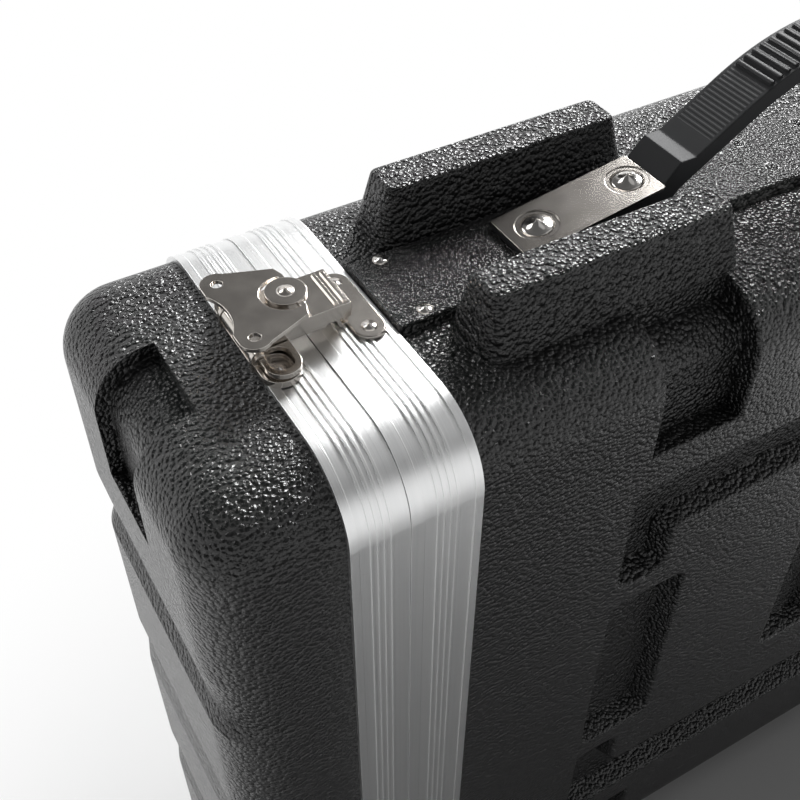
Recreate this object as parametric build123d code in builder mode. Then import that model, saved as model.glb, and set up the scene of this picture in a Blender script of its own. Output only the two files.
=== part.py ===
"""Rack case for three units of equipment, standing on end with its carrying handle on top.

X runs across the three rack units, Y from the front lid to the rear lid, and Z up along
the width of the rack. The origin is on the floor, under the middle of the case.
All sizes are in millimetres.
"""

import os
from math import atan2, cos, hypot, radians, sin, tan

from build123d import *

os.makedirs("parts", exist_ok=True)

# Rack equipment that the case takes
rack_unit = 44.45
rack_units = 3
rack_clear_width = 450.0
rack_hole_offset = 7.55
rack_first_hole = 6.35
rack_hole_step = 15.875
rack_holes_per_unit = 3
rack_hole_radius = 3.4

# Room between the rack equipment and the moulded walls
bay_side_room = 22.325
rail_face_height = 32.4

# Case, measured over the aluminium bands
band_corner = 35.0
half_length = 330.0
guard_rise = 28.0

# Moulded shells
wall = 5.0
cavity_skin = 4.5
lid_depth = 62.0
lid_round = 30.0
lid_inner_round = 25.0

# Aluminium bands, each a lid valance and a body valance
lid_band = 28.0
body_band = 35.0
parting_gap = 0.15
rib_height = 0.6
leg_thick = 2.0
edge_rib = 4.0
centre_strip = 6.5
fine_rib = 1.3
fine_rib_pitch = 3.2
fine_rib_count = 4
lid_fine_ribs_from = 9.2
body_fine_ribs_from = 12.6
inner_leg_thick = 1.5
body_leg_reach = 12.0
lid_leg_reach = 6.0
web_thick = 2.0

# Tongue, groove and seal at each parting line
tongue_from = 4.2
tongue_thick = 2.0
tongue_reach = 3.0
tongue_clearance = 0.3
groove_depth = 6.2
groove_floor = 1.2
seal_thick = 2.6

# Raised panel under the handle, and its twin on the bottom
panel_half = 26.0
panel_rise = 5.0
panel_edge_round = 1.5
panel_draft = 14.0

# Guards on the top and the bottom
guard_near = 25.5
guard_far = 62.0
guard_start = 84.0
guard_length = 145.0
guard_corner = 12.0
guard_draft = 15.0
guard_edge_round = 3.0

# Recesses moulded into both broad faces
recess_depth = 12.6
recess_draft = 22.0
recess_corner = 8.0
recess_edge_round = 2.5
pocket_edge_round = 2.0
pocket_start = 161.7
pocket_length = 53.5
pocket_drop = 70.0
pocket_inner_x = 63.0
bridge_half = 173.0
bridge_leg = 32.0
bridge_top = 94.5
bridge_bar = 43.0
bridge_drop = 173.3
channel_width = 52.0
middle_channel_width = 44.8
channel_land = 15.7

# Lid front: a pocket at each latch and shallow steps across the face
lid_pocket_half = 24.0
lid_pocket_from = 30.0
lid_pocket_drop = 70.0
lid_pocket_depth = 7.0
cut_past = 1.0
step_depth = 4.2
step_ramp = 36.0
step_ledge = 10.0
step_drop = 146.0
middle_step_depth = 2.6
middle_step_ramp = 24.0

# Rack rails
rail_thick = 2.5
rail_wall_leg = 35.0
rail_back = 62.0
rail_end_gap = 0.175
rail_wall_inset = 6.5
rail_corner = 6.0

# Rivets
rivet_head = 3.75
rivet_head_rise = 1.6
rivet_shank = 2.0
rivet_tail = 3.0
rivet_tail_rise = 1.2
rail_rivet_x = 20.0
middle_rivet_x = 12.6
middle_rivet_step = 41.0
hole_gap = 0.05

# Stiffener plate inside the case, under the handle
stiffener_width = 60.0
stiffener_length = 120.0
stiffener_thick = 2.5

# Handle: a moulded strap between two riveted plates
plate_width = 31.5
plate_thick = 1.2
plate_start = 136.5
plate_end = 214.7
plate_low = 6.0
plate_high = 17.2
plate_corner = 1.5
dome_radius = 8.4
dome_rise = 4.2
dome_shank = 3.0
dish_radius = 10.6
dish_depth = 0.5
low_dome_from_start = 16.0
high_dome_from_end = 10.8
strap_width = 28.0
strap_step_gap = 0.3
strap_thick = 9.0
strap_slope = 32.2
strap_bend_half = 62.3
strap_apex = 56.3
strap_heel_y = 112.0
strap_heel_rise = 11.6
strap_shoulder_y = 106.4
strap_shoulder_rise = 26.8
strap_rib_count = 12
strap_rib_pitch = 5.0
strap_rib_rise = 0.9
strap_rib_width = 2.4
strap_rib_side = 2.0

# Latch, measured from the band's edge on the lid side and from the band's outer face
latch_plate_length = 64.0
latch_plate_width = 18.0
latch_plate_y = 8.0
latch_plate_thick = 1.2
latch_rim_rise = 3.2
latch_window_length = 15.0
latch_window_width = 11.0
latch_window_x = 21.5
hinge_y = 2.0
hinge_z = 6.0
barrel_radius = 3.8
barrel_half = 14.6
barrel_trough = 7.5
ear_thick = 2.2
ear_radius = 4.4
ear_gap = 0.4
pin_radius = 1.8
pin_head_radius = 2.6
pin_head_thick = 0.8
running_gap = 0.05
arm_half = 11.2
arm_end = 36.0
arm_sheet = 1.4
arm_low = 4.4
arm_high = 13.0
arm_neck_y = 6.5
arm_ring_thick = 2.4
arm_ring_width = 16.0
arm_ring_y = 9.0
arm_notch_gap = 0.4
hook_half = 13.0
hook_sheet = 1.4
hook_low = 7.4
hook_gap = 0.4
hook_start = 10.0
hook_end = 47.0
hook_travel = 6.0
toe_half = 9.5
toe_low = 2.4
toe_thick = 2.4
toe_rise = 3.0
emboss_ys = (41.0, 45.0)
emboss_width = 1.8
emboss_rise = 0.8
emboss_side = 2.0
keeper_y = 53.5
keeper_length = 48.0
keeper_width = 15.0
keeper_thick = 1.6
keeper_rivet_x = 16.7
keeper_edge = 0.5
keeper_lip_y = 42.4
keeper_lip_thick = 1.6
keeper_lip_rise = 5.2
keeper_lip_lean = 0.27
keeper_lip_half = 10.0
pivot_y = 23.0
shaft_radius = 3.5
hub_radius = 8.0
hub_gap = 0.4
washer_radius = 5.2
washer_thick = 1.2
wing_low = 18.8
wing_thick = 2.0
wing_hole_x = 19.3
wing_hole_radius = 2.6
wing_lobe_radius = 7.3
wing_side_x = 26.5
wing_waist = 3.2
wing_waist_half = 14.0
wing_tip_y = 27.0
wing_tip_near = 11.7
wing_tip_far = 17.0
wing_tip_drop = 1.8
wing_tip_round = 1.2
disc_radius = 9.0
disc_rise = 0.8
slot_width = 2.4
slot_past_pivot = 1.5
pivot_head = 4.0
pivot_head_rise = 1.8

# Places that follow from the sizes above
shell_inset = rib_height + leg_thick
cavity_inset = shell_inset + wall
rack_span = rack_units * rack_unit
case_x = rack_span + 2 * (bay_side_room + cavity_inset)
case_z = rack_clear_width + 2 * (rail_face_height + cavity_inset)
band_low = guard_rise
band_top = band_low + case_z
mid_z = band_low + case_z / 2
shell_top = band_top - shell_inset
shell_face = case_x / 2 - shell_inset
panel_top = shell_top + panel_rise
edge_y = -half_length
parting_y = edge_y + lid_band
body_band_end = parting_y + body_band
body_start = parting_y + parting_gap + web_thick
lid_front = edge_y - lid_depth
lid_shell_end = parting_y - groove_depth - groove_floor
channel_half_height = case_z / 2 - bridge_drop - channel_land
cavity_top = band_top - cavity_inset
rail_face_half = rack_span / 2 - rail_end_gap
rail_y = edge_y + rail_back
rail_rivet_y = rail_y + rail_wall_leg / 2
plate_angle = atan2(plate_high - plate_low, plate_end - plate_start)
plate_length = hypot(plate_high - plate_low, plate_end - plate_start)
plate_plane = Plane(
    (0, edge_y + plate_start, band_top + plate_low),
    x_dir=(1, 0, 0),
    z_dir=(0, -sin(plate_angle), cos(plate_angle)),
)
dome_places = (low_dome_from_start, plate_length - high_dome_from_end)
middle_plane = Plane.XY.offset(mid_z)
depth_plane = Plane.XZ

TOP_AND_BOTTOM = {"top": False, "bottom": True}
FRONT_AND_REAR = {"front": False, "rear": True}


def keep(part, name):
    """Label a finished piece and write it."""
    part.label = name
    export_step(part, f"parts/{name}.step")


def turned(part, rear=False, bottom=False):
    """A piece that is made at the front top, taken to another end or side of the case."""
    if rear:
        part = part.mirror(depth_plane)
    if bottom:
        part = part.mirror(middle_plane)
    return part


def keep_at_ends(part, name):
    """The piece for the front of the case, and its twin for the rear."""
    for end, rear in FRONT_AND_REAR.items():
        keep(turned(part, rear), f"{end}_{name}")


def keep_at_latches(part, name):
    """The piece for each of the four latches."""
    for end, rear in FRONT_AND_REAR.items():
        for side, bottom in TOP_AND_BOTTOM.items():
            keep(turned(part, rear, bottom), f"{end}_{side}_{name}")


def cross_section(y):
    """The plane across the case at y, facing the rear, with X and Z as its axes."""
    return Plane((0, y, 0), x_dir=(-1, 0, 0), z_dir=(0, 1, 0))


def outline(inset, mode=Mode.ADD):
    """The case's rounded outline, drawn inside the band's outer face by an inset."""
    with Locations((0, mid_z)):
        RectangleRounded(
            case_x - 2 * inset, case_z - 2 * inset, band_corner - inset, mode=mode
        )


def hoop(y_from, y_to, inset_from, inset_to):
    """A closed hoop round the case between two insets, from one y to another."""
    with BuildPart() as ring:
        with BuildSketch(cross_section(y_from)):
            outline(inset_from)
            outline(inset_to, Mode.SUBTRACT)
        extrude(amount=y_to - y_from)
    return ring.part


def core(y_from, y_to, inset):
    """A solid that fills the case's outline at an inset."""
    with BuildPart() as filled:
        with BuildSketch(cross_section(y_from)):
            outline(inset)
        extrude(amount=y_to - y_from)
    return filled.part


def holes(points, z, radius, depth):
    """Round holes at a list of points, from a height downwards."""
    with BuildPart() as drilled:
        with BuildSketch(Plane.XY.offset(z)):
            with Locations(*points):
                Circle(radius)
        extrude(amount=-depth)
    return drilled.part


def four_ways(part):
    """A piece that is made at the front top, joined with its copies at all four latches."""
    with BuildPart() as copies:
        add(part)
        mirror(about=depth_plane)
        mirror(about=middle_plane)
    return copies.part


def along(plane, y):
    """A plane moved along its own Y axis."""
    return Plane(plane.from_local_coords((0, y, 0)), x_dir=plane.x_dir, z_dir=plane.z_dir)


def rivet(plane, down, head=rivet_head, rise=rivet_head_rise, shank=rivet_shank):
    """A rivet with a domed head on a plane, a shank that goes down and a flat tail."""
    ball = (head**2 + rise**2) / (2 * rise)
    tail = shank + rivet_tail - rivet_shank
    side = Plane(plane.origin, x_dir=plane.x_dir, z_dir=-plane.y_dir)
    with BuildPart() as piece:
        with BuildSketch(side):
            with BuildLine():
                dome = RadiusArc((0, rise), (head, 0), -ball)
                Polyline(
                    dome @ 1,
                    (shank, 0),
                    (shank, -down),
                    (tail, -down),
                    (tail, -down - rivet_tail_rise),
                    (0, -down - rivet_tail_rise),
                    dome @ 0,
                )
            make_face()
        revolve(axis=Axis(plane.origin, plane.z_dir))
    return piece.part


# Rivet places on the top, and the holes that they need
rail_rivets = [(x, rail_rivet_y) for x in (-rail_rivet_x, rail_rivet_x)]
middle_rivets = [
    (x, y)
    for x in (-middle_rivet_x, middle_rivet_x)
    for y in (-middle_rivet_step, 0, middle_rivet_step)
]
keeper_rivets = [(x, edge_y + keeper_y) for x in (-keeper_rivet_x, keeper_rivet_x)]
base_rivets = [(x, edge_y + latch_plate_y) for x in (-latch_window_x, latch_window_x)]
hole_radius = rivet_shank + hole_gap
panel_grip = panel_rise + wall
rail_holes = four_ways(holes(rail_rivets, panel_top, hole_radius, panel_grip + rail_thick))
middle_holes = holes(middle_rivets, panel_top, hole_radius, panel_grip + stiffener_thick)
keeper_holes = four_ways(holes(keeper_rivets, band_top, hole_radius, cavity_inset))
base_holes = four_ways(holes(base_rivets, band_top, hole_radius, cavity_inset))
dome_grip = plate_high + shell_inset + wall
with BuildPart() as dome_holes:
    for place in dome_places:
        with BuildSketch(along(plate_plane, place)):
            Circle(dome_shank + hole_gap)
        extrude(amount=-dome_grip)
    mirror(about=depth_plane)


def face_boxes(grow, depth):
    """The space of the corner pockets, grown on every side, with no core taken out."""
    length = pocket_length + 2 * grow
    centre_y = edge_y + pocket_start + pocket_length / 2
    low = band_top - pocket_drop - grow
    reach = case_x / 2 - pocket_inner_x + grow
    with BuildPart() as pockets:
        with BuildSketch(Plane.XY.offset(low)):
            with GridLocations(2 * pocket_inner_x + reach - 2 * grow, 2 * centre_y, 2, 2):
                Rectangle(reach, length)
        extrude(amount=band_top - low)
        mirror(about=middle_plane)
        add(core(edge_y, -edge_y, shell_inset + depth), mode=Mode.SUBTRACT)
    return pockets.part


def face_recesses(grow, depth):
    """The drafted recesses of both broad faces: bridges at top and bottom, and channels."""
    outer = bridge_half + grow
    inner = bridge_half - bridge_leg - grow
    high = band_top - bridge_top + grow
    under = band_top - bridge_top - bridge_bar - grow
    low = band_top - bridge_drop - grow
    side_y = bridge_half - channel_width / 2
    with BuildPart() as recesses:
        with BuildSketch(Plane.YZ.offset(shell_face)) as face_plan:
            with BuildLine():
                Polyline(
                    (-outer, low),
                    (-outer, high),
                    (outer, high),
                    (outer, low),
                    (inner, low),
                    (inner, under),
                    (-inner, under),
                    (-inner, low),
                    close=True,
                )
            make_face()
            mirror(about=Plane((0, mid_z, 0), z_dir=(0, 1, 0)))
            with Locations((-side_y, mid_z), (side_y, mid_z)):
                Rectangle(channel_width + 2 * grow, 2 * (channel_half_height + grow))
            with Locations((0, mid_z)):
                Rectangle(middle_channel_width + 2 * grow, 2 * (channel_half_height + grow))
            fillet(face_plan.vertices(), recess_corner)
        extrude(amount=-depth, taper=recess_draft)
        mirror(about=Plane.YZ)
    return recesses.part


def broad_face_rims(shell):
    """The rims of the recesses and of the corner pockets, on both flat broad faces."""
    pocket_y = edge_y + pocket_start + pocket_length / 2
    levels = shell.faces().filter_by(Axis.X).group_by(Axis.X)
    recess_rims, pocket_rims = [], []
    for broad in levels[0] + levels[-1]:
        for loop in broad.inner_wires():
            recess_rims += loop.edges()
        for edge in broad.outer_wire().edges():
            if abs(abs(edge.center().Y) + pocket_y) <= pocket_length / 2 + recess_edge_round:
                pocket_rims.append(edge)
    return recess_rims, pocket_rims


# Body shell
with BuildPart() as body_cavity:
    add(core(edge_y, -edge_y, cavity_inset))
    add(face_boxes(cavity_skin, recess_depth + cavity_skin), mode=Mode.SUBTRACT)
    add(face_recesses(cavity_skin, recess_depth + cavity_skin), mode=Mode.SUBTRACT)

with BuildPart() as body_shell:
    add(core(body_start, -body_start, shell_inset))
    with BuildSketch(Plane.XY.offset(shell_top)):
        Rectangle(2 * panel_half, -2 * body_band_end)
    extrude(amount=panel_rise, taper=panel_draft)
    panel_rims = body_shell.faces().sort_by(Axis.Z)[-1].edges().filter_by(Axis.Y)
    fillet(panel_rims, panel_edge_round)
    guard_x = (guard_near + guard_far) / 2
    guard_y = edge_y + guard_start + guard_length / 2
    with BuildSketch(Plane.XY.offset(shell_top)):
        with GridLocations(2 * guard_x, 2 * guard_y, 2, 2):
            RectangleRounded(guard_far - guard_near, guard_length, guard_corner)
    extrude(amount=guard_rise + shell_inset, taper=guard_draft)
    fillet(body_shell.edges().group_by(Axis.Z)[-1], guard_edge_round)
    split(bisect_by=middle_plane, keep=Keep.TOP)
    mirror(about=middle_plane)
    add(face_boxes(0, recess_depth), mode=Mode.SUBTRACT)
    add(face_recesses(0, recess_depth), mode=Mode.SUBTRACT)
    fillet(broad_face_rims(body_shell)[0], recess_edge_round)
    fillet(broad_face_rims(body_shell)[1], pocket_edge_round)
    add(body_cavity.part, mode=Mode.SUBTRACT)
    for drilled in (rail_holes, middle_holes, keeper_holes, dome_holes.part):
        add(drilled, mode=Mode.SUBTRACT)
keep(body_shell.part, "body_shell")


# Lid shell
def lid_block(front, end, inset, rounding):
    """The lid's outline at an inset, rounded round its front."""
    with BuildPart() as block:
        add(core(front, end, inset))
        fillet(block.faces().sort_by(Axis.Y)[0].edges(), rounding)
    return block.part


def lid_pockets(grow, depth):
    """A pocket over the lid's front edge at each latch, down to a shell at its depth."""
    start = lid_front - cut_past
    end = edge_y - lid_pocket_from + grow
    drop = lid_pocket_drop + grow
    keep_out = lid_block(lid_front + depth, edge_y, shell_inset + depth, lid_round - depth)
    with BuildPart() as pockets:
        with BuildSketch(Plane.XY.offset(band_top)):
            with Locations((0, (start + end) / 2)):
                Rectangle(2 * (lid_pocket_half + grow), end - start)
        extrude(amount=-drop)
        mirror(about=middle_plane)
        add(keep_out, mode=Mode.SUBTRACT)
    return pockets.part


def waist(z, depth, ramp, ledge):
    """What a step takes off the lid. The front draws back by a depth at z, and comes out again
    over a ramp above and a ledge below."""
    length = 2 * lid_depth
    with BuildPart() as left:
        for rise in (ramp, -ledge):
            with BuildSketch(Plane.XY.offset(z)):
                with Locations((0, lid_front + depth + length / 2)):
                    RectangleRounded(2 * shell_face, length, lid_round)
            extrude(amount=hypot(depth, rise), dir=(0, -depth, rise))
    with BuildPart() as taken:
        with BuildSketch(Plane.XY.offset(z - ledge)):
            with Locations((0, (lid_front + edge_y) / 2)):
                Rectangle(case_x, lid_depth)
        extrude(amount=ramp + ledge)
        add(left.part, mode=Mode.SUBTRACT)
    return taken.part


with BuildPart() as lid_steps:
    add(waist(band_top - step_drop, step_depth, step_ramp, step_ledge))
    mirror(about=middle_plane)
    add(waist(mid_z, middle_step_depth, middle_step_ramp, middle_step_ramp))

with BuildPart() as lid_cavity:
    add(lid_block(lid_front + wall, parting_y, cavity_inset, lid_inner_round))
    add(lid_pockets(cavity_skin, lid_pocket_depth + cavity_skin), mode=Mode.SUBTRACT)
    add(Pos(0, wall, 0) * lid_steps.part, mode=Mode.SUBTRACT)

with BuildPart() as lid_shell:
    add(lid_block(lid_front, lid_shell_end, shell_inset, lid_round))
    add(lid_pockets(0, lid_pocket_depth), mode=Mode.SUBTRACT)
    add(lid_steps.part, mode=Mode.SUBTRACT)
    add(lid_cavity.part, mode=Mode.SUBTRACT)
    add(base_holes, mode=Mode.SUBTRACT)
keep_at_ends(lid_shell.part, "lid_shell")


# Valances
def fine_ribs(first):
    """The group of fine ribs that runs round a valance."""
    for rib in range(fine_rib_count):
        start = first + rib * fine_rib_pitch
        add(hoop(start, start + fine_rib, 0, rib_height))


face_y = parting_y + parting_gap
clip_inset = cavity_inset + inner_leg_thick
with BuildPart() as body_valance:
    add(hoop(face_y, body_band_end, rib_height, shell_inset))
    add(hoop(face_y, face_y + web_thick, shell_inset, clip_inset))
    add(hoop(face_y, face_y + body_leg_reach, cavity_inset, clip_inset))
    add(hoop(face_y - tongue_reach, face_y, tongue_from, tongue_from + tongue_thick))
    add(hoop(face_y, parting_y + centre_strip, 0, rib_height))
    add(hoop(body_band_end - edge_rib, body_band_end, 0, rib_height))
    fine_ribs(parting_y + body_fine_ribs_from)
    add(keeper_holes, mode=Mode.SUBTRACT)
keep_at_ends(body_valance.part, "body_valance")

groove_y = parting_y - groove_depth
groove_from = tongue_from - tongue_clearance
groove_to = tongue_from + tongue_thick + tongue_clearance
with BuildPart() as lid_valance:
    add(hoop(edge_y, parting_y, rib_height, shell_inset))
    add(hoop(lid_shell_end, parting_y, shell_inset, clip_inset))
    add(hoop(lid_shell_end - lid_leg_reach, parting_y, cavity_inset, clip_inset))
    add(hoop(groove_y, parting_y, groove_from, groove_to), mode=Mode.SUBTRACT)
    add(hoop(edge_y, edge_y + edge_rib, 0, rib_height))
    fine_ribs(edge_y + lid_fine_ribs_from)
    add(base_holes, mode=Mode.SUBTRACT)
keep_at_ends(lid_valance.part, "lid_valance")

with BuildPart() as seal:
    add(hoop(groove_y, groove_y + seal_thick, groove_from, groove_to))
keep_at_ends(seal.part, "lid_seal")

# Rack rails
with BuildPart() as rail:
    with BuildSketch(Plane.XY.offset(cavity_top)):
        with Locations((0, rail_y + rail_wall_leg / 2)):
            Rectangle(2 * (rail_face_half - rail_wall_inset), rail_wall_leg)
    extrude(amount=-rail_thick)
    face_low = mid_z + rack_clear_width / 2
    with BuildSketch(cross_section(rail_y)):
        with Locations((0, (face_low + cavity_top) / 2)):
            face = Rectangle(2 * rail_face_half, cavity_top - face_low)
        chamfer(face.vertices().group_by(Axis.Z)[-1], rail_corner)
    extrude(amount=rail_thick)
    hole_z = face_low + rack_hole_offset
    with BuildSketch(cross_section(rail_y)):
        for unit in range(rack_units):
            for hole in range(rack_holes_per_unit):
                hole_x = unit * rack_unit + rack_first_hole + hole * rack_hole_step - rack_span / 2
                with Locations((hole_x, hole_z)):
                    Circle(rack_hole_radius)
    extrude(amount=rail_thick, mode=Mode.SUBTRACT)
    add(rail_holes, mode=Mode.SUBTRACT)
keep_at_latches(rail.part, "rack_rail")

with BuildPart() as rail_rivet_set:
    for x, y in rail_rivets:
        add(rivet(Plane((x, y, panel_top)), panel_grip + rail_thick))
keep_at_latches(rail_rivet_set.part, "rail_rivets")

# Stiffener under the handle
with BuildPart() as stiffener:
    with BuildSketch(Plane.XY.offset(cavity_top)):
        RectangleRounded(stiffener_width, stiffener_length, plate_corner)
    extrude(amount=-stiffener_thick)
    add(middle_holes, mode=Mode.SUBTRACT)
keep(stiffener.part, "handle_stiffener")

with BuildPart() as middle_rivet_set:
    for x, y in middle_rivets:
        add(rivet(Plane((x, y, panel_top)), panel_grip + stiffener_thick))
keep(middle_rivet_set.part, "stiffener_rivets")

# Handle plates and their rivets
with BuildPart() as handle_plate:
    with BuildSketch(plate_plane):
        with Locations((0, plate_length / 2)):
            RectangleRounded(plate_width, plate_length, plate_corner)
    extrude(amount=-plate_thick)
    with BuildSketch(along(plate_plane, dome_places[0]), along(plate_plane, dome_places[1])):
        Circle(dish_radius)
    extrude(amount=-dish_depth, mode=Mode.SUBTRACT)
    add(dome_holes.part, mode=Mode.SUBTRACT)
keep_at_ends(handle_plate.part, "handle_plate")

with BuildPart() as dome_set:
    for place in dome_places:
        bottom_plane = along(plate_plane, place).offset(-dish_depth)
        add(rivet(bottom_plane, dome_grip - dish_depth, dome_radius, dome_rise, dome_shank))
keep_at_ends(dome_set.part, "handle_rivets")

# Handle strap
slope = radians(strap_slope)
under_radius = strap_bend_half / sin(slope)
over_radius = under_radius + strap_thick
bend_centre_z = band_top + strap_apex - under_radius
under_start = Vector(-strap_bend_half, bend_centre_z + under_radius * cos(slope))
over_start = Vector(-over_radius * sin(slope), bend_centre_z + over_radius * cos(slope))
shoulder_z = band_top + strap_shoulder_rise
shoulder_end = over_start.X - (over_start.Y - shoulder_z) / tan(slope)
heel_z = band_top + strap_heel_rise
heel_end = under_start.X - (under_start.Y - heel_z) / tan(slope)
plate_under = band_top - plate_thick / cos(plate_angle)
strap_foot_y = edge_y + plate_start
strap_step_y = edge_y + plate_end + strap_step_gap
with BuildPart() as handle_strap:
    with BuildSketch(Plane.YZ):
        with BuildLine():
            over = RadiusArc(over_start, (0, band_top + strap_apex + strap_thick), over_radius)
            under = RadiusArc(under_start, (0, band_top + strap_apex), under_radius)
            Line(over @ 1, under @ 1)
            Polyline(
                over_start,
                (shoulder_end, shoulder_z),
                (-strap_shoulder_y, shoulder_z),
                (strap_step_y, band_top + plate_high),
                (strap_step_y, plate_under + plate_high),
                (strap_foot_y, plate_under + plate_low),
                (strap_foot_y, panel_top),
                (-strap_heel_y, panel_top),
                (heel_end, heel_z),
                under_start,
            )
        make_face()
    extrude(amount=strap_width / 2, both=True)
    for step in range(strap_rib_count):
        turn = (step + 0.5) * strap_rib_pitch / over_radius
        run = max(0, turn - slope) * over_radius
        turn = min(turn, slope)
        rib_y = -over_radius * sin(turn) - run * cos(slope)
        rib_z = bend_centre_z + over_radius * cos(turn) - run * sin(slope)
        with BuildSketch(Plane((0, rib_y, rib_z), x_dir=(1, 0, 0), z_dir=(0, -sin(turn), cos(turn)))):
            Rectangle(strap_width - 2 * strap_rib_side, strap_rib_width)
        extrude(amount=strap_rib_rise, both=True)
    add(dome_holes.part, mode=Mode.SUBTRACT)
    mirror(about=depth_plane)
keep(handle_strap.part, "handle_strap")


# Latches. Each is made at the front top, on a plane at the band's outer face.
def latch_level(z):
    """A plane at a height over the band, with its origin at the band's edge."""
    return Plane((0, edge_y, band_top + z))


latch_side = Plane((0, edge_y, band_top), x_dir=(0, 1, 0), z_dir=(1, 0, 0))
hinge_axis_plane = Plane((0, edge_y + hinge_y, band_top + hinge_z), x_dir=(0, 1, 0), z_dir=(1, 0, 0))
ear_from = barrel_half + ear_gap


def crosswise(plane, radius, half, start=0):
    """A round bar along X, from start to half on both sides of the middle."""
    with BuildPart() as bar:
        with BuildSketch(plane.offset(start)):
            Circle(radius)
        extrude(amount=half - start)
        mirror(about=Plane.YZ)
    return bar.part


with BuildPart() as keeper:
    with BuildSketch(latch_level(0)):
        with Locations((0, keeper_y)):
            SlotOverall(keeper_length, keeper_width)
    extrude(amount=keeper_thick)
    chamfer(keeper.faces().sort_by(Axis.Z)[-1].edges(), keeper_edge)
    with BuildSketch(latch_side):
        lean = keeper_lip_lean * keeper_lip_rise
        with BuildLine():
            Polyline(
                (keeper_lip_y, 0),
                (keeper_y, 0),
                (keeper_y, keeper_thick),
                (keeper_lip_y + keeper_lip_thick, keeper_thick),
                (keeper_lip_y + keeper_lip_thick - lean, keeper_lip_rise),
                (keeper_lip_y - lean, keeper_lip_rise),
                close=True,
            )
        make_face()
    extrude(amount=keeper_lip_half, both=True)
    add(keeper_holes, mode=Mode.SUBTRACT)
    with BuildSketch(latch_level(0)):
        with Locations((-keeper_rivet_x, keeper_y), (keeper_rivet_x, keeper_y)):
            Circle(hole_radius)
    extrude(amount=keeper_thick, mode=Mode.SUBTRACT)
keep_at_latches(keeper.part, "latch_keeper")

with BuildPart() as keeper_rivet_set:
    for x, y in keeper_rivets:
        add(rivet(Plane((x, y, band_top + keeper_thick)), cavity_inset + keeper_thick))
keep_at_latches(keeper_rivet_set.part, "keeper_rivets")

with BuildPart() as latch_base:
    with BuildSketch(latch_level(0)):
        with Locations((0, latch_plate_y)):
            SlotOverall(latch_plate_length, latch_plate_width)
    extrude(amount=latch_rim_rise)
    with BuildSketch(latch_level(latch_rim_rise)):
        with Locations((-latch_window_x, latch_plate_y), (latch_window_x, latch_plate_y)):
            SlotOverall(latch_window_length, latch_window_width)
        with Locations((0, 0)):
            Rectangle(2 * ear_from, 2 * barrel_trough)
    extrude(amount=latch_plate_thick - latch_rim_rise, mode=Mode.SUBTRACT)
    with BuildSketch(latch_side.offset(ear_from)):
        with Locations((hinge_y, hinge_z)):
            Circle(ear_radius)
        with Locations((hinge_y, hinge_z / 2)):
            Rectangle(2 * ear_radius, hinge_z)
    extrude(amount=ear_thick)
    mirror(about=Plane.YZ)
    add(
        crosswise(hinge_axis_plane, pin_radius + running_gap, ear_from + ear_thick),
        mode=Mode.SUBTRACT,
    )
    with BuildSketch(latch_level(0)):
        with Locations((-latch_window_x, latch_plate_y), (latch_window_x, latch_plate_y)):
            Circle(hole_radius)
    extrude(amount=latch_plate_thick, mode=Mode.SUBTRACT)
keep_at_latches(latch_base.part, "latch_base")

with BuildPart() as base_rivet_set:
    for x, y in base_rivets:
        top = Plane((x, y, band_top + latch_plate_thick))
        add(rivet(top, cavity_inset + latch_plate_thick))
keep_at_latches(base_rivet_set.part, "base_rivets")

with BuildPart() as hinge_pin:
    pin_end = ear_from + ear_thick
    add(crosswise(hinge_axis_plane, pin_radius, pin_end + pin_head_thick))
    add(crosswise(hinge_axis_plane, pin_head_radius, pin_end + pin_head_thick, pin_end))
keep_at_latches(hinge_pin.part, "hinge_pin")

with BuildPart() as latch_arm:
    add(crosswise(hinge_axis_plane, barrel_radius, barrel_half))
    with BuildSketch(latch_side):
        with BuildLine():
            Polyline(
                (hinge_y, hinge_z + barrel_radius),
                (arm_neck_y, arm_high),
                (arm_end, arm_high),
                (arm_end, arm_high - arm_sheet),
                (arm_neck_y + arm_sheet, arm_high - arm_sheet),
                (hinge_y + barrel_radius, hinge_z),
                (hinge_y, hinge_z),
                close=True,
            )
        make_face()
    extrude(amount=arm_half, both=True)
    with BuildSketch(latch_side.offset(arm_half - arm_sheet)):
        with BuildLine():
            Polyline(
                (hinge_y + barrel_radius / 2, arm_low),
                (hinge_y + barrel_radius / 2, hinge_z),
                (arm_neck_y, arm_high),
                (arm_end, arm_high),
                (arm_end, arm_low),
                close=True,
            )
        make_face()
    extrude(amount=arm_sheet)
    with BuildSketch(latch_level(arm_low)):
        with Locations((0, arm_ring_y)):
            SlotOverall(latch_plate_length, arm_ring_width)
        with Locations((latch_window_x, arm_ring_y)):
            SlotOverall(latch_window_length, latch_window_width, mode=Mode.SUBTRACT)
        with Locations((ear_from + (ear_thick + pin_head_thick) / 2, 0)):
            Rectangle(
                ear_thick + pin_head_thick + 2 * arm_notch_gap,
                2 * (hinge_y + ear_radius + arm_notch_gap),
                mode=Mode.SUBTRACT,
            )
        with Locations((-latch_plate_length / 4, arm_ring_y)):
            Rectangle(latch_plate_length / 2, arm_ring_width, mode=Mode.SUBTRACT)
    extrude(amount=arm_ring_thick)
    split(bisect_by=Plane.YZ, keep=Keep.TOP)
    mirror(about=Plane.YZ)
    add(
        crosswise(hinge_axis_plane, pin_radius + running_gap, barrel_half),
        mode=Mode.SUBTRACT,
    )
    with BuildSketch(latch_level(arm_high)):
        with Locations((0, pivot_y)):
            Circle(shaft_radius + running_gap)
    extrude(amount=-arm_sheet, mode=Mode.SUBTRACT)
keep_at_latches(latch_arm.part, "latch_arm")

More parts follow.
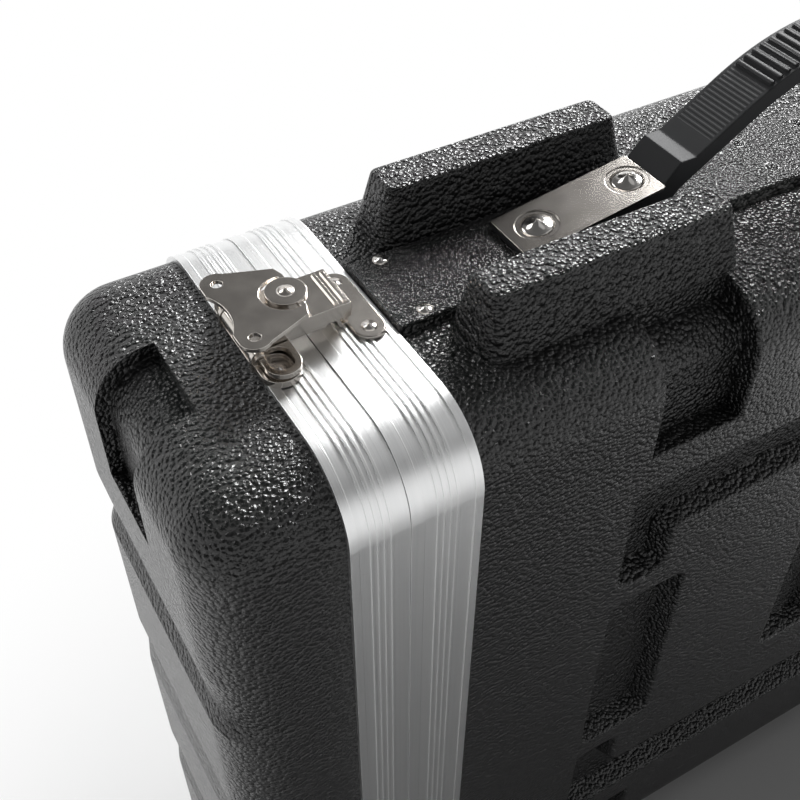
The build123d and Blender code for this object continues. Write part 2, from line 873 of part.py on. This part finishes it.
hook_under = arm_high + hook_gap
hook_high = hook_under + hook_sheet
with BuildPart() as latch_hook:
    with BuildSketch(latch_level(hook_under)):
        with Locations((0, (hook_start + hook_end) / 2)):
            Rectangle(2 * hook_half, hook_end - hook_start)
    extrude(amount=hook_sheet)
    with BuildSketch(latch_level(hook_low)):
        with Locations((hook_half - hook_sheet / 2, (hook_start + hook_end) / 2)):
            Rectangle(hook_sheet, hook_end - hook_start)
    extrude(amount=hook_under - hook_low)
    mirror(about=Plane.YZ)
    with BuildSketch(latch_side):
        with BuildLine():
            Polyline(
                (hook_end, hook_high),
                (hook_end, toe_low),
                (hook_end - toe_thick, toe_low),
                (hook_end - toe_thick, toe_low + toe_rise),
                (hook_end - hook_sheet, toe_low + toe_rise + hook_sheet),
                (hook_end - hook_sheet, hook_high),
                close=True,
            )
        make_face()
    extrude(amount=toe_half, both=True)
    with BuildSketch(latch_level(hook_high)):
        for y in emboss_ys:
            with Locations((0, y)):
                Rectangle(2 * (hook_half - emboss_side), emboss_width)
    extrude(amount=emboss_rise)
    with BuildSketch(latch_level(hook_under)):
        with Locations((0, pivot_y - hook_travel / 2)):
            slot_gap = 2 * (shaft_radius + hook_gap)
            SlotCenterToCenter(hook_travel, slot_gap, rotation=90)
    extrude(amount=hook_sheet, mode=Mode.SUBTRACT)
keep_at_latches(latch_hook.part, "latch_hook")

with BuildPart() as latch_cam:
    hub_low = hook_high + hub_gap
    washer_high = arm_high - arm_sheet - hub_gap
    washer_low = washer_high - washer_thick
    head_low = wing_low + wing_thick + disc_rise
    with BuildSketch(latch_level(hub_low)):
        with Locations((0, pivot_y)):
            Circle(hub_radius)
    extrude(amount=wing_low - hub_low)
    with BuildSketch(latch_level(washer_low)):
        with Locations((0, pivot_y)):
            Circle(washer_radius)
    extrude(amount=washer_thick)
    with BuildSketch(latch_level(washer_low)):
        with Locations((0, pivot_y)):
            Circle(shaft_radius)
    extrude(amount=head_low - washer_low)
    with BuildSketch(Plane((0, edge_y + pivot_y, band_top + head_low), x_dir=(1, 0, 0), z_dir=(0, -1, 0))):
        with BuildLine():
            head_ball = (pivot_head**2 + pivot_head_rise**2) / (2 * pivot_head_rise)
            dome = RadiusArc((0, pivot_head_rise), (pivot_head, 0), -head_ball)
            Polyline(dome @ 1, (0, 0), dome @ 0)
        make_face()
    revolve(axis=Axis((0, edge_y + pivot_y, band_top), (0, 0, 1)))
keep_at_latches(latch_cam.part, "latch_cam")

with BuildPart() as latch_wing:
    with BuildSketch(latch_level(wing_low)):
        with BuildLine():
            Polyline(
                (-wing_tip_near, wing_tip_y),
                (wing_tip_near, wing_tip_y),
                (wing_tip_far, wing_tip_y - wing_tip_drop),
                (wing_side_x, 0),
                (wing_hole_x, -wing_lobe_radius),
                (-wing_hole_x, -wing_lobe_radius),
                (-wing_side_x, 0),
                (-wing_tip_far, wing_tip_y - wing_tip_drop),
                close=True,
            )
        plate = make_face()
        fillet(plate.vertices().group_by(Axis.Y)[-1], wing_tip_round)
        with Locations((-wing_hole_x, 0), (wing_hole_x, 0)):
            Circle(wing_lobe_radius)
        with BuildLine():
            ThreePointArc(
                (-wing_waist_half, -wing_lobe_radius),
                (0, -wing_waist),
                (wing_waist_half, -wing_lobe_radius),
            )
            Line((-wing_waist_half, -wing_lobe_radius), (wing_waist_half, -wing_lobe_radius))
        make_face(mode=Mode.SUBTRACT)
        with Locations((0, pivot_y)):
            Circle(disc_radius)
    extrude(amount=wing_thick)
    with BuildSketch(latch_level(wing_low)):
        with Locations((0, pivot_y)):
            Circle(disc_radius + slot_width)
            Circle(disc_radius, mode=Mode.SUBTRACT)
            with Locations((0, disc_radius * 2 + slot_past_pivot)):
                Rectangle(4 * disc_radius, 4 * disc_radius, mode=Mode.SUBTRACT)
    extrude(amount=wing_thick, mode=Mode.SUBTRACT)
    with BuildSketch(latch_level(wing_low)):
        with Locations((0, pivot_y)):
            Circle(disc_radius)
    extrude(amount=wing_thick + disc_rise)
    with BuildSketch(latch_level(wing_low)):
        with Locations((0, pivot_y)):
            Circle(shaft_radius + running_gap)
        with Locations((-wing_hole_x, 0), (wing_hole_x, 0)):
            Circle(wing_hole_radius)
    extrude(amount=wing_thick + disc_rise, mode=Mode.SUBTRACT)
keep_at_latches(latch_wing.part, "latch_wing")
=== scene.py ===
"""Rack case on end with its carrying handle on top, dressed for a picture.

X runs across the three rack units, Y from the front lid to the rear lid, and Z up.
All sizes are in metres.
"""

from math import radians

import bpy
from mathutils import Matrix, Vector

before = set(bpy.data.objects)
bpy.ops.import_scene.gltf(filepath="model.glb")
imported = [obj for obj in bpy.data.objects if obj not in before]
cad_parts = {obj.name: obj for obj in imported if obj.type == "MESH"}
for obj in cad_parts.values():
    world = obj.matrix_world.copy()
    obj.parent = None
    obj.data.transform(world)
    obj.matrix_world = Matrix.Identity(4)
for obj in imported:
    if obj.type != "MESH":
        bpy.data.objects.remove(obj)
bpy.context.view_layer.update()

# Rays that show the background
SEEN_RAYS = ("Camera", "Glossy", "Transmission")

# The raised panel on the case's top and bottom, which has a finer grain
case_middle_z = 0.293
panel_half_width = 0.0262
panel_start = 0.2662

# Fine ribs across the strap, from its crown to its shoulders
fine_rib_pitch = 0.0021
fine_rib_half = 0.012
fine_rib_end = 0.0888


class Value:
    """One output of a node. A sum, product or comparison of values adds the node it needs."""

    def __init__(self, finish, socket):
        self.finish = finish
        self.socket = socket

    def maths(self, operation, first, second):
        return self.finish.maths(operation, first, second)

    def __add__(self, other):
        return self.maths("ADD", self, other)

    def __sub__(self, other):
        return self.maths("SUBTRACT", self, other)

    def __rsub__(self, other):
        return self.maths("SUBTRACT", other, self)

    def __mul__(self, other):
        return self.maths("MULTIPLY", self, other)

    def __gt__(self, other):
        return self.maths("GREATER_THAN", self, other)

    def __lt__(self, other):
        return self.maths("LESS_THAN", self, other)

    def __abs__(self):
        return self.maths("ABSOLUTE", self, 0)

    __radd__ = __add__
    __rmul__ = __mul__


class Nodes:
    """The nodes of a material or of the world."""

    def __init__(self, tree):
        self.tree = tree

    def feed(self, socket, value):
        """Link a value to a socket, or set the socket where it is a plain number or colour."""
        if isinstance(value, Value):
            self.tree.links.new(value.socket, socket)
        elif hasattr(value, "__len__") and len(value) < len(socket.default_value):
            socket.default_value = (*value, 1)
        else:
            socket.default_value = value

    def node(self, kind, settings=None, sockets=None, result=0):
        """A node with its settings, then its sockets' values or links. Gives one output."""
        made = self.tree.nodes.new(kind)
        for setting, value in (settings or {}).items():
            setattr(made, setting, value)
        for socket, value in (sockets or {}).items():
            self.feed(made.inputs[socket], value)
        return Value(self, made.outputs[result])

    def maths(self, operation, first, second):
        """A sum, a product or a comparison of two values or numbers."""
        return self.node("ShaderNodeMath", {"operation": operation}, {0: first, 1: second})

    def vectors(self, operation, sockets, result=0):
        """A sum, a product or a distance of two vectors."""
        return self.node("ShaderNodeVectorMath", {"operation": operation}, sockets, result)

    def between(self, share, low, high):
        """A number from low to high, by a share."""
        sockets = {"Value": share, "To Min": low, "To Max": high}
        return self.node("ShaderNodeMapRange", {"clamp": True}, sockets)

    def seen(self):
        """1 for the rays that show the background, in the picture and in metal."""
        return sum(self.node("ShaderNodeLightPath", result=f"Is {ray} Ray") for ray in SEEN_RAYS)

    def step(self, value, start, end):
        """0 below start, 1 above end, and smooth between."""
        settings = {"interpolation_type": "SMOOTHSTEP", "clamp": True}
        sockets = {"Value": value, "From Min": start, "From Max": end}
        return self.node("ShaderNodeMapRange", settings, sockets)


class Finish(Nodes):
    """A material, with the grains and masks that its surface is made of."""

    def __init__(self, name, **fixed):
        self.material = bpy.data.materials.new(name)
        self.material.use_nodes = True
        super().__init__(self.material.node_tree)
        self.shader = self.tree.nodes["Principled BSDF"]
        for socket, value in fixed.items():
            self.feed(self.shader.inputs[socket.replace("_", " ")], value)
        self.whole = Value(self, self.shader.outputs[0])
        self.place = self.node("ShaderNodeTexCoord", result="Object")

    def axes(self):
        """The X, Y and Z of a point on the surface."""
        return [
            self.node("ShaderNodeSeparateXYZ", None, {0: self.place}, axis)
            for axis in ("X", "Y", "Z")
        ]

    def stretched(self, x, y, z):
        """The surface's own coordinates, scaled on each axis."""
        return self.vectors("MULTIPLY", {0: self.place, 1: (x, y, z)})

    def noise(self, scale, detail=2, rough=0.5, at=None, result=0):
        """A soft noise from 0 to 1, over the surface's own coordinates unless others are given."""
        sockets = {"Vector": at or self.place, "Scale": scale, "Detail": detail, "Roughness": rough}
        return self.node("ShaderNodeTexNoise", None, sockets, result)

    def cells(self, scale, at):
        """How far a point is from the middle of its cell, as a share of the cell."""
        return self.node("ShaderNodeTexVoronoi", {"feature": "F1"}, {"Vector": at, "Scale": scale})

    def shaken(self, scale, reach):
        """The surface's own coordinates, moved about by a noise."""
        colour = self.noise(scale, result=1)
        centred = self.vectors("SUBTRACT", {0: colour, 1: (0.5, 0.5, 0.5)})
        moved = self.vectors("SCALE", {0: centred, "Scale": reach})
        return self.vectors("ADD", {0: self.place, 1: moved})

    def tint(self, share, first, second):
        """A colour from first to second, by a share."""
        settings = {"data_type": "RGBA"}
        return self.node("ShaderNodeMix", settings, {0: share, 6: first, 7: second}, 2)

    def soft_edges(self, radius):
        """A direction for the surface that rounds its edges, and a mask of where it does."""
        rounded = self.node("ShaderNodeBevel", {"samples": 6}, {"Radius": radius})
        facing = self.node("ShaderNodeNewGeometry", result="Normal")
        alike = self.vectors("DOT_PRODUCT", {0: rounded, 1: facing}, "Value")
        return rounded, 1 - alike

    def relief(self, height, depth, on=None):
        """Raise and sink the surface by a height, times a depth in metres."""
        sockets = {"Strength": 1.0, "Distance": depth, "Height": height}
        if on:
            sockets["Normal"] = on
        return self.node("ShaderNodeBump", None, sockets)

    def show(self, shader):
        """Use this shader in place of the plain one."""
        self.tree.links.new(shader.socket, self.tree.nodes["Material Output"].inputs["Surface"])

    def surface(self, **sockets):
        """Link what varies over the surface to the shader."""
        for socket, value in sockets.items():
            self.feed(self.shader.inputs[socket.replace("_", " ")], value)
        return self.material


def moulded_shell():
    """Black moulded plastic with a coarse pebble grain, finer on the raised panel."""
    pebbles_per_metre = 430
    swirls_per_metre = 620
    grain_depth = 0.0006
    finish = Finish("moulded_shell", Specular_IOR_Level=0.5)
    x, y, z = finish.axes()
    on_panel = (abs(x) < panel_half_width) * (abs(z - case_middle_z) > panel_start)
    closeness = 1 + on_panel * 0.6
    swirls = finish.noise(closeness * swirls_per_metre, 2, 0.6)
    gap = finish.cells(closeness * pebbles_per_metre, finish.shaken(500, 0.0012))
    pebbles = 1 - gap * gap * 2.4 + swirls * 0.9
    rounded, edge = finish.soft_edges(0.0009)
    worn = finish.step(edge * finish.noise(60, 2), 0.06, 0.3)
    black, soft_black = (0.0105, 0.0106, 0.0108), (0.0145, 0.0145, 0.0147)
    colour = finish.tint(finish.noise(9, 2), black, soft_black)
    return finish.surface(
        Base_Color=finish.tint(worn, colour, (0.024, 0.024, 0.025)),
        Roughness=finish.between(swirls, 0.18, 0.3),
        Normal=finish.relief(pebbles * (1 - on_panel * 0.25), grain_depth, rounded),
    )


def drawn_aluminium():
    """Bright drawn aluminium with fine lines that run round the case."""
    line_depth = 0.00007
    finish = Finish("drawn_aluminium", Specular_IOR_Level=0.5)
    lines = finish.noise(1, 3, 0.6, finish.stretched(5, 2600, 5))
    broad_lines = finish.noise(1, 2, 0.5, finish.stretched(3, 420, 3))
    sand = finish.noise(1900, 2)
    rounded, edge = finish.soft_edges(0.0004)
    worn = finish.step(edge, 0.1, 0.5)
    colour = finish.tint(broad_lines, (0.78, 0.79, 0.79), (0.88, 0.88, 0.88))
    return finish.surface(
        Base_Color=finish.tint(worn, colour, (0.95, 0.95, 0.95)),
        Metallic=finish.between(sand, 0.97, 1.0),
        Roughness=finish.between(lines, 0.3, 0.44),
        Normal=finish.relief(lines * 0.85 + sand * 0.15, line_depth, rounded),
    )


def bright_nickel(name, dark, pale, smooth, rough):
    """Smooth plated steel with a warm tone, slightly uneven, with wear and a painted highlight on
    its edges.
    """
    grit_depth = 0.000003
    finish = Finish(name, Specular_IOR_Level=0.5, Metallic=1.0)
    clouds = finish.noise(120, 3, 0.6)
    grit = finish.noise(2400, 2)
    rounded, edge = finish.soft_edges(0.0004)
    # Edge mask: wear, and also a painted highlight along every edge.
    worn = finish.step(edge, 0.02, 0.25)
    return finish.surface(
        # The pale edge colour (0.9, 0.86, 0.81) is a painted highlight as well as worn metal.
        Base_Color=finish.tint(worn, finish.tint(clouds, dark, pale), (0.9, 0.86, 0.81)),
        Roughness=finish.between(clouds * 0.6 + grit * 0.4, smooth, rough),
        Normal=finish.relief(grit, grit_depth, rounded),
    )


def brushed_steel():
    """Plain brushed steel for the rails and the stiffener."""
    line_depth = 0.00002
    finish = Finish("brushed_steel", Specular_IOR_Level=0.5, Metallic=1.0)
    lines = finish.noise(1, 3, 0.6, finish.stretched(8, 1800, 1800))
    clouds = finish.noise(35, 3)
    rounded, _ = finish.soft_edges(0.0004)
    return finish.surface(
        Base_Color=finish.tint(clouds, (0.3, 0.3, 0.3), (0.42, 0.42, 0.41)),
        Roughness=finish.between(lines, 0.3, 0.5),
        Normal=finish.relief(lines, line_depth, rounded),
    )


def soft_rubber(name, dark, pale, smooth, rough, rounding, ribs_end=0):
    """Dark moulded rubber with a satin skin, and fine ribs across it as far as ribs_end."""
    rib_depth = 0.00014
    finish = Finish(name, Specular_IOR_Level=0.3)
    x, y, z = finish.axes()
    clouds = finish.noise(40, 3)
    skin = finish.noise(1500, 2, 0.6)
    half_pitch = fine_rib_pitch / 2
    ribs = finish.step(finish.maths("PINGPONG", y, half_pitch), 0.2 * half_pitch, 0.8 * half_pitch)
    ribbed = (abs(y) < ribs_end) * (abs(x) < fine_rib_half)
    rounded, edge = finish.soft_edges(rounding)
    worn = finish.step(edge, 0.1, 0.6)
    return finish.surface(
        Base_Color=finish.tint(worn, finish.tint(clouds, dark, pale), [1.5 * c for c in pale]),
        Roughness=finish.between(skin, smooth, rough),
        Normal=finish.relief(skin * 0.3 + ribs * ribbed, rib_depth, rounded),
    )


shell = moulded_shell()
aluminium = drawn_aluminium()
nickel = bright_nickel("bright_nickel", (0.6, 0.56, 0.52), (0.72, 0.68, 0.63), 0.14, 0.26)
rivet_metal = bright_nickel("polished_rivet", (0.62, 0.6, 0.58), (0.75, 0.73, 0.7), 0.12, 0.2)
plate_metal = bright_nickel("handle_plate", (0.3, 0.28, 0.26), (0.38, 0.36, 0.335), 0.16, 0.24)
steel = brushed_steel()
strap_rubber = soft_rubber(
    "strap_rubber", (0.022, 0.023, 0.025), (0.032, 0.033, 0.035), 0.55, 0.68, 0.0014, fine_rib_end
)
seal_rubber = soft_rubber(
    "seal_rubber", (0.01, 0.01, 0.01), (0.016, 0.016, 0.016), 0.5, 0.65, 0.0005
)

# The finish of each kind of CAD part, which the last word of its name tells. The stiffener's
# rivets are black with the shell's grain.
FINISHES = {
    "shell": shell,
    "valance": aluminium,
    "seal": seal_rubber,
    "rail": steel,
    "stiffener": steel,
    "rivets": rivet_metal,
    "stiffener_rivets": shell,
    "strap": strap_rubber,
    "plate": plate_metal,
    "keeper": nickel,
    "base": nickel,
    "pin": nickel,
    "arm": nickel,
    "hook": nickel,
    "cam": nickel,
    "wing": nickel,
}
for name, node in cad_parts.items():
    finish = FINISHES.get(name) or FINISHES[name.split("_")[-1]]
    for slot in node.material_slots:
        slot.material = finish


scene = bpy.context.scene
scene.view_settings.view_transform = "Standard"


def pale_floor(shadow_middle, shadow_end, white_start):
    """Pale floor that takes the case's shadow, and is plain white away from it."""
    finish = Finish("pale_floor", Specular_IOR_Level=0.0, Roughness=1.0)
    lit = finish.surface(
        Base_Color=finish.tint(finish.noise(2), (0.66, 0.66, 0.66), (0.68, 0.68, 0.68))
    )
    reach = finish.vectors("DISTANCE", {0: finish.place, 1: shadow_middle}, "Value")
    white = finish.node("ShaderNodeEmission", None, {"Color": (1, 1, 1), "Strength": 1.0})
    share = finish.step(reach, shadow_end, white_start) * finish.seen()
    finish.show(finish.node("ShaderNodeMixShader", None, {0: share, 1: finish.whole, 2: white}))
    return lit


def lay_floor(reach, material):
    """A flat stage sheet at Z 0, as far as reach on every side."""
    corners = [(x * reach, y * reach, 0) for x, y in ((-1, -1), (1, -1), (1, 1), (-1, 1))]
    mesh = bpy.data.meshes.new("floor")
    mesh.from_pydata(corners, [], [range(len(corners))])
    mesh.materials.append(material)
    floor = bpy.data.objects.new("floor", mesh)
    scene.collection.objects.link(floor)


def fill_air(strength, white_end, plain_start):
    """Even light from all round. Its background is white from the horizon up to a height."""
    world = bpy.data.worlds.new("studio_air")
    world.use_nodes = True
    sky = world.node_tree.nodes["Background"].inputs
    air = Nodes(world.node_tree)
    air.feed(sky["Color"], (1, 1, 1))
    outward = air.node("ShaderNodeTexCoord", result="Generated")
    rise = air.node("ShaderNodeSeparateXYZ", None, {0: outward}, "Z")
    white = (1 - air.step(rise, white_end, plain_start)) * air.seen()
    air.feed(sky["Strength"], air.between(white, strength, 1))
    scene.world = world


def hang_softbox(name, place, size, power):
    """A square lamp, aimed at the top of the case."""
    lamp = bpy.data.lights.new(name, "AREA")
    lamp.size = size
    lamp.energy = power
    softbox = bpy.data.objects.new(name, lamp)
    scene.collection.objects.link(softbox)
    softbox.location = place
    away = Vector(place) - Vector(case_top)
    softbox.rotation_euler = away.to_track_quat("Z", "Y").to_euler()


case_top = (0, -0.2, 0.5)
lay_floor(12, pale_floor(shadow_middle=(0.42, 0.0, 0.0), shadow_end=0.5, white_start=0.95))
fill_air(strength=0.12, white_end=0.3, plain_start=0.5)
hang_softbox("far_softbox", (-1.65, 1.9, 2.2), size=1.1, power=165)
hang_softbox("left_softbox", (-1.75, -0.95, 2.05), size=0.9, power=13)
hang_softbox("high_softbox", (0.7, 0.75, 2.2), size=1.6, power=3)

camera = bpy.data.objects.new("camera", bpy.data.cameras.new("camera"))
scene.collection.objects.link(camera)
camera.location = (0.3403, -0.4481, 0.8801)
camera.rotation_euler = (radians(45), 0, radians(60))
camera.data.lens = 50.61
camera.data.sensor_width = 36
scene.camera = camera
